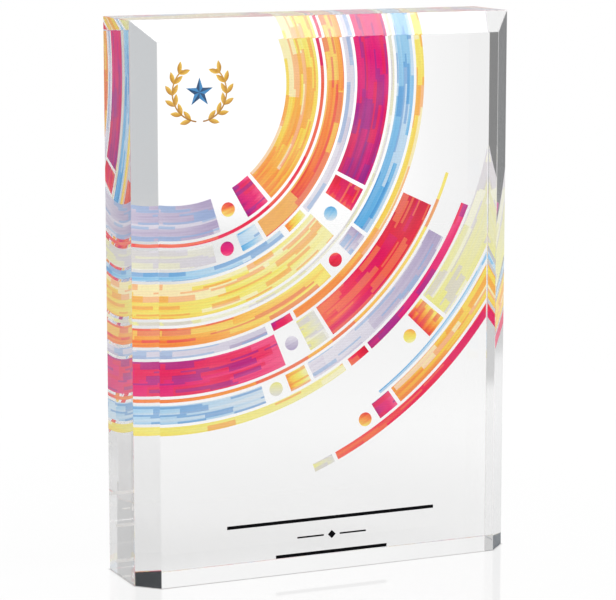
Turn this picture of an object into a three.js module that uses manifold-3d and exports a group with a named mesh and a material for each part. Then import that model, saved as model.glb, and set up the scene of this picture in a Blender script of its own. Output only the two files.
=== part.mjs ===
// Freestanding acrylic plaque.
// A thick clear block stands on its polished base, and its front top and side edges are bevelled.
// A print of broken colour rings is bonded to the back face. An emblem and an inscription's ruled
// lines are printed on the front face. Each printed field is a thin solid of cured ink.
// Millimetres, +Z up, +X to the viewer's right, +Y to the back, origin under the middle of the block.

import * as THREE from "three";
import { mergeVertices } from "three/addons/utils/BufferGeometryUtils.js";
import Module from "manifold-3d";

const wasm = await Module();
wasm.setup();

// Block
const BLOCK_WIDTH = 139.7;
const BLOCK_HEIGHT = 190.5;
const BLOCK_THICKNESS = 31.75;
const BEVEL = 7;

// Ink
const INK_THICKNESS = 0.05;
const PRINT_MARGIN = 0.3;

// Back print: rings of bands around the emblem, counted outwards
const RING_COUNT = 16;
const TOP_EDGE_RINGS = 8;
const LEFT_EDGE_RINGS = 12;
const FIRST_RING_RADIUS = 40;
const RING_GAP = 1;
const WIDE_BAND = 12;
const HAIRLINE_BAND = 1.2;
const MEDIUM_BAND = 6.5;
const NARROW_BAND = 3;
const TIP_LENGTH = 8;
const TIP_GAP = 1.4;
const DOT_DIAMETER = 5;
const DOT_GAP = 2.4;

// Angles of the rings, clockwise from the viewer's right
const TOP_EDGE_DEG = -60;
const RIGHT_EDGE_DEG = 0;
const LEFT_EDGE_DEG = 130;
const FREE_START_DEG = 15;
const FREE_START_SPREAD_DEG = 18;
const INNER_BREAK_DEG = 24;
const INNER_BREAK_SPREAD_DEG = 40;
const FREE_BREAK_DEG = 40;
const FREE_BREAK_SPREAD_DEG = 30;
const OUTER_SPAN_DEG = 18;
const OUTER_SPAN_SPREAD_DEG = 14;
const GOLDEN_SHARE = 0.618;
const ARC_STEP_DEG = 2.5;
const DOT_STEP_DEG = 11.25;

// Front print: emblem at the upper left
const EMBLEM_SIDE_MARGIN = 3;
const EMBLEM_TOP_MARGIN = 5;
const STAR_POINTS = 5;
const STAR_RADIUS = 5;
const STAR_WAIST_RADIUS = 1.95;
const WREATH_RADIUS = 9.6;
const STEM_WIDTH = 0.5;
const STEM_FOOT_DEG = -83;
const STEM_HEAD_DEG = 52;
const STEM_STEP_DEG = 4.5;
const LEAF_PAIRS = 6;
const LEAF_LENGTH = 4.2;
const LEAF_WIDTH = 1.6;
const LEAF_LEAN_DEG = 32;
const LEAF_SEGMENTS = 5;

// Front print: lines at the bottom
const UPPER_RULE_LENGTH = 78;
const UPPER_RULE_HEIGHT = 18.5;
const LOWER_RULE_LENGTH = 42;
const LOWER_RULE_HEIGHT = 6.5;
const RULE_WIDTH = 1.2;
const DIVIDER_HEIGHT = 12.5;
const DIVIDER_RULE_LENGTH = 10;
const DIVIDER_RULE_WIDTH = 0.6;
const LOZENGE_WIDTH = 3;
const LOZENGE_HEIGHT = 3;
const LOZENGE_GAP = 1.5;

// Finishes
const inkFinish = { roughness: 0.45, metalness: 0 };
const acrylicFinish = { color: 0xeef4f6, roughness: 0.04, metalness: 0, transparent: true, opacity: 0.2 };
const INKS = {
  yellow: 0xf6ec78,
  crimson: 0xde1c3c,
  orange: 0xfa9646,
  lavender: 0xc4bace,
  magenta: 0xe21c78,
  straw: 0xe6e4c0,
  blue: 0x78b4e0,
  gold: 0xd7a02a,
  navy: 0x23689c,
  black: 0x141416,
};
const RING_INKS = ["yellow", "crimson", "orange", "lavender", "magenta", "straw", "blue"];
const DOT_INK_STEP = 2;
const LOWER_INK_STEP = 3;
const TIP_INK_STEP = 4;
const RING_KINDS = [
  { width: WIDE_BAND, broken: true, dotted: true },
  { width: HAIRLINE_BAND, broken: false, dotted: false },
  { width: MEDIUM_BAND, broken: true, dotted: true },
  { width: NARROW_BAND, broken: true, dotted: false },
];

const radians = THREE.MathUtils.degToRad;
const degrees = THREE.MathUtils.radToDeg;

/** Turns a closed three.js geometry into a solid for boolean work. */
function solidOf(geometry) {
  const bare = geometry.clone();
  bare.deleteAttribute("normal");
  bare.deleteAttribute("uv");
  const merged = mergeVertices(bare);
  const triVerts = new Uint32Array(merged.index.array);
  const vertProperties = new Float32Array(merged.attributes.position.array);
  return new wasm.Manifold(new wasm.Mesh({ numProp: 3, vertProperties, triVerts }));
}

/** Turns a solid back into a three.js geometry. */
function geometryOf(solid) {
  const mesh = solid.getMesh();
  const geometry = new THREE.BufferGeometry();
  geometry.setAttribute("position", new THREE.BufferAttribute(mesh.vertProperties, 3));
  geometry.setIndex(new THREE.BufferAttribute(mesh.triVerts, 1));
  geometry.computeVertexNormals();
  return geometry;
}

/** The clear block: a plan with two cut corners, raised to full height, less its front top edge. */
function makeBlock() {
  const side = BLOCK_WIDTH / 2;
  const front = -BLOCK_THICKNESS / 2;
  const plan = new THREE.Shape();
  plan.moveTo(-side, -front);
  plan.lineTo(-side, front + BEVEL);
  plan.lineTo(-side + BEVEL, front);
  plan.lineTo(side - BEVEL, front);
  plan.lineTo(side, front + BEVEL);
  plan.lineTo(side, -front);
  plan.closePath();
  const raised = new THREE.ExtrudeGeometry(plan, { depth: BLOCK_HEIGHT, bevelEnabled: false });

  const corner = new THREE.Shape();
  corner.moveTo(front - BEVEL, BLOCK_HEIGHT - 2 * BEVEL);
  corner.lineTo(front + 2 * BEVEL, BLOCK_HEIGHT + BEVEL);
  corner.lineTo(front - BEVEL, BLOCK_HEIGHT + BEVEL);
  corner.closePath();
  const wedge = new THREE.ExtrudeGeometry(corner, { depth: BLOCK_WIDTH, bevelEnabled: false });
  const alongX = new THREE.Matrix4().makeBasis(
    new THREE.Vector3(0, 1, 0),
    new THREE.Vector3(0, 0, 1),
    new THREE.Vector3(1, 0, 0),
  );
  wedge.applyMatrix4(alongX);
  wedge.translate(-side, 0, 0);

  const cut = solidOf(raised).subtract(solidOf(wedge));
  const block = new THREE.Mesh(geometryOf(cut), new THREE.MeshStandardMaterial(acrylicFinish));
  block.name = "acrylic_block";
  return block;
}

/** The thin solid that an outline prints, drawn with x to the right and y up. */
function inkLayer(outline, curveSegments = 1) {
  const settings = { depth: INK_THICKNESS, bevelEnabled: false, curveSegments };
  return new THREE.ExtrudeGeometry(outline, settings);
}

/** The curve segments for an arc, of which three.js draws two for each one asked. */
function arcSegments(sweepDeg, stepDeg) {
  return Math.ceil(sweepDeg / stepDeg / 2);
}

/** A named mesh of one printed field. */
function printedField(name, geometry, ink) {
  const material = new THREE.MeshStandardMaterial({ color: INKS[ink], ...inkFinish });
  const field = new THREE.Mesh(geometry, material);
  field.name = name;
  return field;
}

/** A group whose x and y run right and up from an origin on the block's face, with z to the viewer. */
function printPlane(depth, origin) {
  const plane = new THREE.Group();
  plane.position.set(origin.x, depth, origin.y);
  plane.rotation.x = Math.PI / 2;
  return plane;
}

// Where the emblem stands on the flat of the front face
const wreathReach = WREATH_RADIUS + LEAF_LENGTH * Math.sin(radians(LEAF_LEAN_DEG));
const emblemCentre = new THREE.Vector2(
  -BLOCK_WIDTH / 2 + BEVEL + EMBLEM_SIDE_MARGIN + wreathReach,
  BLOCK_HEIGHT - BEVEL - EMBLEM_TOP_MARGIN - wreathReach,
);
const rightEdgeReach = BLOCK_WIDTH / 2 - PRINT_MARGIN - emblemCentre.x;

/** A band of a ring between two angles. */
function ringBand(inner, width, fromDeg, toDeg) {
  const outline = new THREE.Shape();
  outline.absarc(0, 0, inner + width, -radians(fromDeg), -radians(toDeg), true);
  outline.absarc(0, 0, inner, -radians(toDeg), -radians(fromDeg), false);
  outline.closePath();
  return inkLayer(outline, arcSegments(toDeg - fromDeg, ARC_STEP_DEG));
}

/** A dot at an angle on the middle of a ring. */
function ringDot(middle, atDeg) {
  const outline = new THREE.Shape();
  const angle = -radians(atDeg);
  const turn = 2 * Math.PI;
  outline.absarc(middle * Math.cos(angle), middle * Math.sin(angle), DOT_DIAMETER / 2, 0, turn, false);
  return inkLayer(outline, arcSegments(degrees(turn), DOT_STEP_DEG));
}

/** The angles at which a ring's first band starts and ends. The outer rings come in from the right edge. */
function bandAngles(number, middle) {
  const share = (number * GOLDEN_SHARE) % 1;
  if (number <= TOP_EDGE_RINGS) {
    return { start: TOP_EDGE_DEG, end: INNER_BREAK_DEG + INNER_BREAK_SPREAD_DEG * share };
  }
  if (number <= LEFT_EDGE_RINGS) {
    const start = FREE_START_DEG + FREE_START_SPREAD_DEG * share;
    return { start, end: FREE_BREAK_DEG + FREE_BREAK_SPREAD_DEG * share };
  }
  const entry = degrees(Math.acos(Math.min(1, rightEdgeReach / middle)));
  return { start: RIGHT_EDGE_DEG, end: entry + OUTER_SPAN_DEG + OUTER_SPAN_SPREAD_DEG * share };
}

/** The ink of a ring, or the one some steps after it. */
function ringInk(number, step = 0) {
  return RING_INKS[(number - 1 + step) % RING_INKS.length];
}

/** The print on the back face: rings of bands, each with a tip of another ink, a dot and a second band. */
function makeBackPrint() {
  const plane = printPlane(BLOCK_THICKNESS / 2 + INK_THICKNESS, emblemCentre);
  const area = new THREE.BoxGeometry(
    BLOCK_WIDTH - 2 * PRINT_MARGIN,
    BLOCK_HEIGHT - 2 * PRINT_MARGIN,
    4 * INK_THICKNESS,
  );
  area.translate(-emblemCentre.x, BLOCK_HEIGHT / 2 - emblemCentre.y, 0);
  const printArea = solidOf(area);

  function addField(name, geometry, ink) {
    const printed = solidOf(geometry).intersect(printArea);
    plane.add(printedField(`${name}_${ink}`, geometryOf(printed), ink));
  }

  let inner = FIRST_RING_RADIUS;
  for (let number = 1; number <= RING_COUNT; number += 1) {
    const { width, broken, dotted } = RING_KINDS[(number - 1) % RING_KINDS.length];
    const middle = inner + width / 2;
    const degPerMm = degrees(1 / middle);
    const label = String(number).padStart(2, "0");
    const reachesLeft = number <= LEFT_EDGE_RINGS;
    const { start, end } = bandAngles(number, middle);

    if (broken) {
      addField(`band_${label}_upper`, ringBand(inner, width, start, end), ringInk(number));
      const tipStart = end + TIP_GAP * degPerMm;
      let reached = tipStart + TIP_LENGTH * degPerMm;
      addField(`tip_${label}`, ringBand(inner, width, tipStart, reached), ringInk(number, TIP_INK_STEP));
      if (dotted) {
        const dotAt = reached + (DOT_GAP + DOT_DIAMETER / 2) * degPerMm;
        addField(`dot_${label}`, ringDot(middle, dotAt), ringInk(number, DOT_INK_STEP));
        reached = dotAt + (DOT_DIAMETER / 2) * degPerMm;
      }
      if (reachesLeft) {
        const lowerStart = reached + DOT_GAP * degPerMm;
        const lower = ringBand(inner, width, lowerStart, LEFT_EDGE_DEG);
        addField(`band_${label}_lower`, lower, ringInk(number, LOWER_INK_STEP));
      }
    } else {
      const hairline = ringBand(inner, width, start, reachesLeft ? LEFT_EDGE_DEG : end);
      addField(`band_${label}`, hairline, ringInk(number));
    }
    inner += width + RING_GAP;
  }
  return plane;
}

/** A star with one point straight up. */
function starOutline() {
  const points = [];
  for (let i = 0; i < 2 * STAR_POINTS; i += 1) {
    const radius = i % 2 === 0 ? STAR_RADIUS : STAR_WAIST_RADIUS;
    const angle = Math.PI / 2 + (i * Math.PI) / STAR_POINTS;
    points.push(new THREE.Vector2(radius * Math.cos(angle), radius * Math.sin(angle)));
  }
  return new THREE.Shape(points);
}

/** A pointed leaf from its foot at the origin along +x. */
function leafOutline() {
  const leaf = new THREE.Shape();
  leaf.moveTo(0, 0);
  leaf.quadraticCurveTo(LEAF_LENGTH / 2, LEAF_WIDTH, LEAF_LENGTH, 0);
  leaf.quadraticCurveTo(LEAF_LENGTH / 2, -LEAF_WIDTH, 0, 0);
  return leaf;
}

/** The right branch of the wreath: a curved stem with leaves in pairs. */
function wreathBranch() {
  const outer = WREATH_RADIUS + STEM_WIDTH / 2;
  const inner = WREATH_RADIUS - STEM_WIDTH / 2;
  const sweep = STEM_HEAD_DEG - STEM_FOOT_DEG;
  const stem = new THREE.Shape();
  stem.absarc(0, 0, outer, radians(STEM_FOOT_DEG), radians(STEM_HEAD_DEG), false);
  stem.absarc(0, 0, inner, radians(STEM_HEAD_DEG), radians(STEM_FOOT_DEG), true);
  stem.closePath();

  let branch = solidOf(inkLayer(stem, arcSegments(sweep, STEM_STEP_DEG)));
  for (let pair = 0; pair < LEAF_PAIRS; pair += 1) {
    const at = radians(STEM_FOOT_DEG + (sweep * (pair + 0.5)) / LEAF_PAIRS);
    for (const lean of [-LEAF_LEAN_DEG, LEAF_LEAN_DEG]) {
      const leaf = inkLayer(leafOutline(), LEAF_SEGMENTS);
      leaf.rotateZ(at + Math.PI / 2 + radians(lean));
      leaf.translate(WREATH_RADIUS * Math.cos(at), WREATH_RADIUS * Math.sin(at), 0);
      branch = branch.add(solidOf(leaf));
    }
  }
  return branch;
}

/** The emblem on the front face: a star in a wreath of two branches. */
function makeEmblem() {
  const plane = printPlane(-BLOCK_THICKNESS / 2, emblemCentre);
  const right = wreathBranch();
  plane.add(printedField("emblem_star", inkLayer(starOutline()), "navy"));
  plane.add(printedField("emblem_branch_right", geometryOf(right), "gold"));
  plane.add(printedField("emblem_branch_left", geometryOf(right.mirror([1, 0, 0])), "gold"));
  return plane;
}

/** A rectangle around the origin. */
function ruleOutline(length, width) {
  const rule = new THREE.Shape();
  rule.moveTo(-length / 2, -width / 2);
  rule.lineTo(length / 2, -width / 2);
  rule.lineTo(length / 2, width / 2);
  rule.lineTo(-length / 2, width / 2);
  rule.closePath();
  return rule;
}

/** A lozenge around the origin. */
function lozengeOutline() {
  const lozenge = new THREE.Shape();
  lozenge.moveTo(0, -LOZENGE_HEIGHT / 2);
  lozenge.lineTo(LOZENGE_WIDTH / 2, 0);
  lozenge.lineTo(0, LOZENGE_HEIGHT / 2);
  lozenge.lineTo(-LOZENGE_WIDTH / 2, 0);
  lozenge.closePath();
  return lozenge;
}

/** The inscription's place on the front face: two ruled lines with a divider between them. */
function makeInscription() {
  const plane = printPlane(-BLOCK_THICKNESS / 2, new THREE.Vector2(0, 0));

  function addLine(name, outline, x, y) {
    const line = printedField(name, inkLayer(outline), "black");
    line.position.set(x, y, 0);
    plane.add(line);
  }

  const dividerRule = ruleOutline(DIVIDER_RULE_LENGTH, DIVIDER_RULE_WIDTH);
  const dividerOffset = LOZENGE_WIDTH / 2 + LOZENGE_GAP + DIVIDER_RULE_LENGTH / 2;
  addLine("inscription_rule_upper", ruleOutline(UPPER_RULE_LENGTH, RULE_WIDTH), 0, UPPER_RULE_HEIGHT);
  addLine("inscription_rule_lower", ruleOutline(LOWER_RULE_LENGTH, RULE_WIDTH), 0, LOWER_RULE_HEIGHT);
  addLine("divider_lozenge", lozengeOutline(), 0, DIVIDER_HEIGHT);
  addLine("divider_rule_left", dividerRule, -dividerOffset, DIVIDER_HEIGHT);
  addLine("divider_rule_right", dividerRule, dividerOffset, DIVIDER_HEIGHT);
  return plane;
}

const plaque = new THREE.Group();
plaque.add(makeBlock(), makeBackPrint(), makeEmblem(), makeInscription());

export default plaque;
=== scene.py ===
"""Dresses a freestanding acrylic plaque.

A thick clear block with bevelled front edges stands on a white table. A print of broken colour rings is
bonded to its back face, and an emblem, ruled lines and a divider are printed on its front face.
"""

from __future__ import annotations

import logging
import math
from collections.abc import Iterator
from contextlib import contextmanager
from dataclasses import dataclass, field
from enum import Enum
from functools import cache, reduce
from typing import Any

import bmesh
import bpy
from mathutils import Matrix, Vector

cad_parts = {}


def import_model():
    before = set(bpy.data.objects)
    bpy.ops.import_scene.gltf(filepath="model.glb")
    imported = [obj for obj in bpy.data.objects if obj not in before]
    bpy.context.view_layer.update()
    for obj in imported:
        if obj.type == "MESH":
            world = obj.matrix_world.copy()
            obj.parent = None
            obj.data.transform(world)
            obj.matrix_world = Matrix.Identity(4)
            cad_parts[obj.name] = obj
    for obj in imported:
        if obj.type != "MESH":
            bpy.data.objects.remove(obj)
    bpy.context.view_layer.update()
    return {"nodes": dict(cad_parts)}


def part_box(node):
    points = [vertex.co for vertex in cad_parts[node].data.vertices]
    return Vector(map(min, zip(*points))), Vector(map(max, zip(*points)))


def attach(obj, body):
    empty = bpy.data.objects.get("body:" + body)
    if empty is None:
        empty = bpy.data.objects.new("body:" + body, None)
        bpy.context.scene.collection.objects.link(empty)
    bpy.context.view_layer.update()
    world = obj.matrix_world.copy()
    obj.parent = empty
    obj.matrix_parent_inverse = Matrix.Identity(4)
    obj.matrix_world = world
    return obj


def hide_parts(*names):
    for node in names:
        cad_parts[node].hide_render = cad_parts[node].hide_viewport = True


Socket = bpy.types.NodeSocket
Sockets = bpy.types.bpy_prop_collection
Tree = bpy.types.NodeTree
Material = bpy.types.Material
Mesh = bpy.types.Mesh
Colour = tuple[float, float, float, float]
Span = tuple[float, float]
Levels = tuple[tuple[float, float], ...]
Stops = tuple[tuple[float, Colour], ...]

MM = 0.001
BODY = "root"
IMAGE_SIZE = (616, 600)
ALONG = "along"
LAYERED = "layered"
ORIGIN = (0.0, 0.0, 0.0)
WHITE = (1.0, 1.0, 1.0, 1.0)
LOG = logging.getLogger("plaque")

# The curve of screen colours
SCREEN_KNEE = 0.04045
SCREEN_SLOPE = 12.92
SCREEN_LIFT = 0.055
SCREEN_POWER = 2.4

# The sockets of a node that mixes colours
MIX_SHARE, MIX_FIRST, MIX_SECOND = 0, 6, 7
MIX_RESULT = 2

# The socket types of a group's inputs, by the type of their defaults
VALUE_SOCKETS = {float: "NodeSocketFloat", int: "NodeSocketInt", tuple: "NodeSocketVector"}


def linear(code: str) -> Colour:
    """Turns a colour's screen code into the renderer's own numbers.

    Args:
        code: six hexadecimal digits.

    Returns:
        Red, green, blue and an alpha of one.
    """
    parts = [int(code[i : i + 2], 16) / 255 for i in (0, 2, 4)]
    curve = []
    for part in parts:
        if part <= SCREEN_KNEE:
            curve.append(part / SCREEN_SLOPE)
        else:
            curve.append(((part + SCREEN_LIFT) / (1 + SCREEN_LIFT)) ** SCREEN_POWER)
    return (*curve, 1.0)


def grey(level: float) -> Colour:
    """Gives the grey of a level."""
    return (level, level, level, 1.0)


def add_object(name: str, data: Any) -> bpy.types.Object:
    """Adds an object to the scene.

    Args:
        name: its name.
        data: its mesh, lamp or camera.

    Returns:
        The object.
    """
    made = bpy.data.objects.new(name, data)
    bpy.context.scene.collection.objects.link(made)
    return made


@contextmanager
def edited(mesh: Mesh) -> Iterator[bmesh.types.BMesh]:
    """Opens a mesh for editing and writes the result back to it.

    Args:
        mesh: the mesh.

    Yields:
        Its form for editing.
    """
    work = bmesh.new()
    work.from_mesh(mesh)
    yield work
    work.to_mesh(mesh)
    work.free()


def dress(name: str, mesh: Mesh, node: str) -> None:
    """Makes a mesh a piece that stands for a solid of the frame, and reports it.

    Args:
        name: the piece's name.
        mesh: its mesh, in place.
        node: the solid's name.
    """
    made = add_object(name, mesh)
    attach(made, BODY)
    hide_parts(node)
    LOG.info("%s: %d faces", made.name, len(mesh.polygons))


class NodeWriter:
    """Writes a node tree in short calls."""

    def __init__(self, tree: Tree) -> None:
        """Keeps the tree that is written."""
        self.tree = tree

    def feed(self, socket: Socket, value: Any) -> None:
        """Links a socket to another one, or sets its own value.

        Args:
            socket: the socket that is fed.
            value: the other socket, or the value.
        """
        if isinstance(value, bpy.types.NodeSocket):
            self.tree.links.new(value, socket)
        else:
            socket.default_value = value

    def node(self, kind: str, inputs: dict[Any, Any] | None = None, **settings: Any) -> bpy.types.Node:
        """Adds a node.

        Args:
            kind: the node's type name.
            inputs: what feeds its sockets, by name or number.
            **settings: the node's own properties.

        Returns:
            The node.
        """
        made = self.tree.nodes.new(kind)
        for name, value in settings.items():
            setattr(made, name, value)
        for key, value in (inputs or {}).items():
            self.feed(made.inputs[key], value)
        return made

    def out(self, kind: str, inputs: dict[Any, Any] | None = None, **settings: Any) -> Socket:
        """Adds a node and gives its first output."""
        return self.node(kind, inputs, **settings).outputs[0]

    def math(self, operation: str, *values: Any) -> Socket:
        """Adds one sum on plain values and gives its result."""
        return self.out("ShaderNodeMath", dict(enumerate(values)), operation=operation)

    def product(self, *values: Any) -> Socket:
        """Multiplies plain values in their order."""
        return reduce(lambda first, second: self.math("MULTIPLY", first, second), values)

    def vector(self, operation: str, *values: Any) -> Socket:
        """Adds one sum on vectors and gives its result."""
        return self.out("ShaderNodeVectorMath", dict(enumerate(values)), operation=operation)

    def length(self, vector: Socket) -> Socket:
        """Gives a vector's length."""
        return self.node("ShaderNodeVectorMath", {0: vector}, operation="LENGTH").outputs["Value"]

    def point(self, **axes: Any) -> Socket:
        """Gives a vector from its X, Y and Z."""
        return self.out("ShaderNodeCombineXYZ", axes)

    def axes(self, vector: Socket) -> tuple[Socket, ...]:
        """Gives a vector's X, Y and Z."""
        return tuple(self.node("ShaderNodeSeparateXYZ", {0: vector}).outputs)

    def place(self) -> Socket:
        """Gives a point's place on its object."""
        return self.node("ShaderNodeTexCoord").outputs["Object"]

    def attribute(self, name: str) -> Socket:
        """Gives a value that the mesh carries."""
        return self.node("ShaderNodeAttribute", attribute_name=name).outputs["Fac"]

    def between(self, value: Any, low: float, high: float, kind: str = "SMOOTHSTEP") -> Socket:
        """Gives 0 at a low value, 1 at a high one and a ramp between them."""
        inputs = {"Value": value, "From Min": low, "From Max": high}
        return self.out("ShaderNodeMapRange", inputs, interpolation_type=kind)

    def ramp(self, value: Any, stops: Stops) -> Socket:
        """Adds a colour ramp.

        Args:
            value: what places a point on the ramp.
            stops: places from 0 to 1 with their colours.

        Returns:
            The ramp's colour.
        """
        made = self.node("ShaderNodeValToRGB", {"Fac": value})
        elements = made.color_ramp.elements
        while len(elements) < len(stops):
            elements.new(1.0)
        for element, (place, colour) in zip(elements, stops, strict=True):
            element.position = place
            element.color = colour
        return made.outputs["Color"]

    def mix(self, share: Any, first: Any, second: Any) -> Socket:
        """Gives a blend of two colours."""
        inputs = {MIX_SHARE: share, MIX_FIRST: first, MIX_SECOND: second}
        return self.node("ShaderNodeMix", inputs, data_type="RGBA").outputs[MIX_RESULT]

    def blend(self, share: Any, first: Socket, second: Socket) -> Socket:
        """Gives a blend of two shaders."""
        return self.out("ShaderNodeMixShader", {0: share, 1: first, 2: second})

    def group(self, tree: Tree, inputs: dict[str, Any]) -> Sockets:
        """Places a shared group with its own values and gives its outputs."""
        return self.node("ShaderNodeGroup", inputs, node_tree=tree).outputs

    def grid(self, steps: Any, rows: int) -> Socket:
        """Gives a flat grid of side one."""
        inputs = {"Size X": 1.0, "Size Y": 1.0, "Vertices X": steps, "Vertices Y": rows}
        return self.out("GeometryNodeMeshGrid", inputs)

    def store(self, geometry: Socket, name: str, value: Any, domain: str = "POINT") -> Socket:
        """Keeps a value on a geometry under a name."""
        inputs = {"Geometry": geometry, "Name": name, "Value": value}
        return self.out("GeometryNodeStoreNamedAttribute", inputs, data_type="FLOAT", domain=domain)

    def moved(self, geometry: Socket, place: Socket) -> Socket:
        """Sets the place of each of a geometry's points."""
        return self.out("GeometryNodeSetPosition", {"Geometry": geometry, "Position": place})

    def welded(self, geometry: Socket, distance: float) -> Socket:
        """Merges a geometry's points that lie within a distance."""
        return self.out("GeometryNodeMergeByDistance", {"Geometry": geometry, "Distance": distance})


class TreeKind(Enum):
    """The kinds of node group, each with the type of its outputs."""

    SHADER = ("ShaderNodeTree", "NodeSocketFloat")
    GEOMETRY = ("GeometryNodeTree", "NodeSocketGeometry")


class Bare(Enum):
    """The kinds of group input that have no value of their own."""

    GEOMETRY = "NodeSocketGeometry"
    MATERIAL = "NodeSocketMaterial"


def new_group(
    name: str, kind: TreeKind, inputs: dict[str, Any], outputs: tuple[str, ...]
) -> tuple[NodeWriter, Sockets]:
    """Starts a node group.

    Args:
        name: the group's name.
        kind: its kind.
        inputs: its inputs' defaults by name, or their kind where they have none.
        outputs: its outputs' names.

    Returns:
        A writer of the group's tree, and what its inputs give.
    """
    tree_type, output_type = kind.value
    tree = bpy.data.node_groups.new(name, tree_type)
    for title, default in inputs.items():
        if isinstance(default, Bare):
            tree.interface.new_socket(title, in_out="INPUT", socket_type=default.value)
        else:
            socket_type = VALUE_SOCKETS[type(default)]
            tree.interface.new_socket(title, in_out="INPUT", socket_type=socket_type).default_value = default
    for title in outputs:
        tree.interface.new_socket(title, in_out="OUTPUT", socket_type=output_type)
    writer = NodeWriter(tree)
    return writer, writer.node("NodeGroupInput").outputs


def new_material(name: str) -> tuple[Material, NodeWriter]:
    """Starts a material with an empty tree.

    Args:
        name: the material's name.

    Returns:
        The material and a writer of its tree.
    """
    made = bpy.data.materials.new(name)
    made.use_nodes = True
    made.node_tree.nodes.clear()
    return made, NodeWriter(made.node_tree)


class Shared:
    """The shader groups that several finishes use, each built once."""

    # How unevenly wide the lanes of strips are, and how far their strips are shifted
    LANE_WAVE = 1.7
    LANE_SWING = 0.45
    LANE_SHIFT = 7.0

    # The span of noise that is spread over 0 to 1
    FLOW_SPAN = (0.3, 0.7)
    DROPLET_SPAN = (0.25, 0.75)

    # A printer's passes: how many waves for each droplet, and how strong beside the droplets
    PASS_WAVE = 2.2
    PASS_SHARE = 0.25

    @staticmethod
    @cache
    def ring_place() -> Tree:
        """Where a point lies on the rings.

        Returns:
            A group with Centre in, and Radius, in metres, and Angle, in radians, out.
        """
        w, given = new_group("ring_place", TreeKind.SHADER, {"Centre": ORIGIN}, ("Radius", "Angle"))
        across, _, up = w.axes(w.vector("SUBTRACT", w.place(), given["Centre"]))
        radius = w.length(w.point(X=across, Z=up))
        w.node("NodeGroupOutput", {"Radius": radius, "Angle": w.math("ARCTAN2", up, across)})
        return w.tree

    @staticmethod
    @cache
    def ring_flow() -> Tree:
        """Fine streaks and broad washes that run along the rings.

        Returns:
            A group with Centre and Seed in, and Streak and Wash out, both from 0 to 1.
        """
        inputs = {"Centre": ORIGIN, "Seed": 0.0}
        w, given = new_group("ring_flow", TreeKind.SHADER, inputs, ("Streak", "Wash"))
        place = w.group(Shared.ring_place(), {"Centre": given["Centre"]})

        def flow(per_metre: float, per_radian: float, detail: float) -> Socket:
            """Noise that is fine across the rings and long along them.

            Args:
                per_metre: its fineness across the rings.
                per_radian: its fineness along them.
                detail: its finer octaves.

            Returns:
                The noise, from 0 to 1.
            """
            across = w.math("MULTIPLY", place["Radius"], per_metre)
            along = w.math("MULTIPLY", place["Angle"], per_radian)
            spot = w.point(X=across, Y=along, Z=given["Seed"])
            noise = w.out("ShaderNodeTexNoise", {"Vector": spot, "Scale": 1.0, "Detail": detail})
            return w.between(noise, *Shared.FLOW_SPAN, "LINEAR")

        streak = flow(per_metre=900.0, per_radian=1.6, detail=2.0)
        wash = flow(per_metre=120.0, per_radian=5.0, detail=1.0)
        w.node("NodeGroupOutput", {"Streak": streak, "Wash": wash})
        return w.tree

    @staticmethod
    @cache
    def ring_strips() -> Tree:
        """Sharp strips that run along the rings, as layers of thin ink do.

        Returns:
            A group with Centre, Width and Length, in metres, Share and Seed in. Strip out is 1 on that
            share of the strips and 0 on the others.
        """
        inputs = {"Centre": ORIGIN, "Width": 0.0015, "Length": 0.02, "Share": 0.3, "Seed": 0.0}
        w, given = new_group("ring_strips", TreeKind.SHADER, inputs, ("Strip",))
        place = w.group(Shared.ring_place(), {"Centre": given["Centre"]})
        steps = w.math("DIVIDE", place["Radius"], given["Width"])
        swing = w.math("SINE", w.math("MULTIPLY", steps, Shared.LANE_WAVE))
        lane = w.math("FLOOR", w.math("MULTIPLY_ADD", swing, Shared.LANE_SWING, steps))

        def chance(first: Any, second: Any) -> Socket:
            """Gives a fixed value from 0 to 1 for a pair of numbers."""
            spot = w.point(X=first, Y=second, Z=given["Seed"])
            return w.out("ShaderNodeTexWhiteNoise", {"Vector": spot}, noise_dimensions="3D")

        shift = w.math("MULTIPLY", chance(lane, 0.0), Shared.LANE_SHIFT)
        lane_radius = w.math("MULTIPLY", lane, given["Width"])
        arc = w.math("DIVIDE", w.math("MULTIPLY", place["Angle"], lane_radius), given["Length"])
        own = chance(lane, w.math("FLOOR", w.math("ADD", arc, shift)))
        w.node("NodeGroupOutput", {"Strip": w.math("LESS_THAN", own, given["Share"])})
        return w.tree

    @staticmethod
    @cache
    def print_grain() -> Tree:
        """The fine droplets and passes of a printer.

        Returns:
            A group with Droplet, a size in metres, and Strength in, and Shade, about 1, and Height out.
        """
        inputs = {"Droplet": 0.0003, "Strength": 0.1}
        w, given = new_group("print_grain", TreeKind.SHADER, inputs, ("Shade", "Height"))
        place = w.place()
        per_metre = w.math("DIVIDE", 1.0, given["Droplet"])
        noise = w.out("ShaderNodeTexNoise", {"Vector": place, "Scale": per_metre, "Detail": 1.0})
        droplets = w.between(noise, *Shared.DROPLET_SPAN, "LINEAR")
        _, _, up = w.axes(place)
        passes = w.math("SINE", w.product(up, per_metre, Shared.PASS_WAVE))
        mottle = w.math("ADD", droplets, w.math("MULTIPLY", passes, Shared.PASS_SHARE))
        shade = w.math("MULTIPLY_ADD", w.math("SUBTRACT", mottle, 0.5), given["Strength"], 1.0)
        w.node("NodeGroupOutput", {"Shade": shade, "Height": mottle})
        return w.tree


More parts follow.
